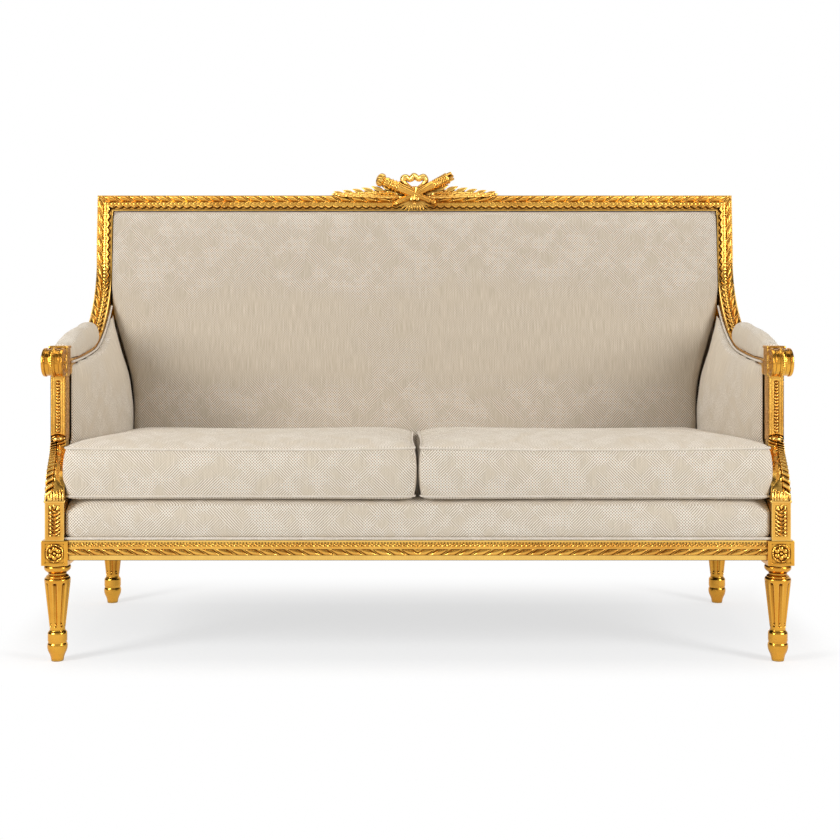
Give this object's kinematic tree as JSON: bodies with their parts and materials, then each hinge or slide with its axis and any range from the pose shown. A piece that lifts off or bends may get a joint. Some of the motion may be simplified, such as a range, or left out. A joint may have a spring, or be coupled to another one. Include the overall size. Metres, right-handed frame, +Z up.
{
  "type": "upholstered settee",
  "caption": "Gilded two-seat settee with a square framed back sweeping down into padded arms, fluted straight legs, a carved crest and loose box seat cushions.",
  "frame": {"origin": "on the floor at the middle of the sofa's footprint", "axes": "+X to the right of someone facing the sofa, +Y to the back, +Z up"},
  "size_m": [1.641, 0.686, 1.1039],
  "materials": {
    "gilt": "carved wood with a burnished gold finish and dark antiquing in the recesses",
    "beech": "unfinished hidden framing",
    "upholstery": "champagne woven cloth with a fine diagonal crosshatch",
    "welt": "piping in the same cloth",
    "webbing": "woven jute straps",
    "dust_cloth": "thin black lining",
    "zip": "closed zip tape",
    "steel": "plated bolts"
  },
  "bodies": {
    "frame": {"front_leg_left": "gilt", "front_leg_right": "gilt", "rear_leg_left": "gilt", "rear_leg_right": "gilt", "front_rail": "gilt", "rear_rail": "gilt", "side_rail_left": "gilt", "side_rail_right": "gilt", "seat_brace": "beech", "corner_blocks": "beech", "corner_bolts": "steel", "frame_dowels": "beech", "arm_support_left": "gilt", "arm_support_right": "gilt", "arm_rail_left": "gilt", "arm_rail_right": "gilt", "arm_tack_rail_left": "beech", "arm_tack_rail_right": "beech", "back_post_left": "gilt", "back_post_right": "gilt", "back_stile_left": "gilt", "back_stile_right": "gilt", "back_top_rail": "gilt", "back_lower_rail": "beech", "crest_trophy": "gilt", "crest_branch_left": "gilt", "crest_branch_right": "gilt", "seat_straps_long": "webbing", "seat_straps_cross": "webbing", "back_straps": "webbing", "dust_cover": "dust_cloth", "seat_deck_pad": "upholstery", "deck_welt": "welt", "back_pad": "upholstery", "back_pad_welt": "welt", "outside_back_panel": "upholstery", "inside_arm_left": "upholstery", "inside_arm_right": "upholstery", "inside_arm_welt_left": "welt", "inside_arm_welt_right": "welt", "outside_arm_left": "upholstery", "outside_arm_right": "upholstery", "arm_pad_left": "upholstery", "arm_pad_right": "upholstery"},
    "cushion_left": {"seat_cushion_left": "upholstery", "cushion_welts_left": "welt", "cushion_zip_left": "zip"},
    "cushion_right": {"seat_cushion_right": "upholstery", "cushion_welts_right": "welt", "cushion_zip_right": "zip"}
  },
  "joints": [
    {"name": "cushion_left_lift", "type": "slide", "parent": "frame", "child": "cushion_left", "axis": [0, 0, 1], "range_m": [0, 0.35]},
    {"name": "cushion_right_lift", "type": "slide", "parent": "frame", "child": "cushion_right", "axis": [0, 0, 1], "range_m": [0, 0.35]}
  ]
}
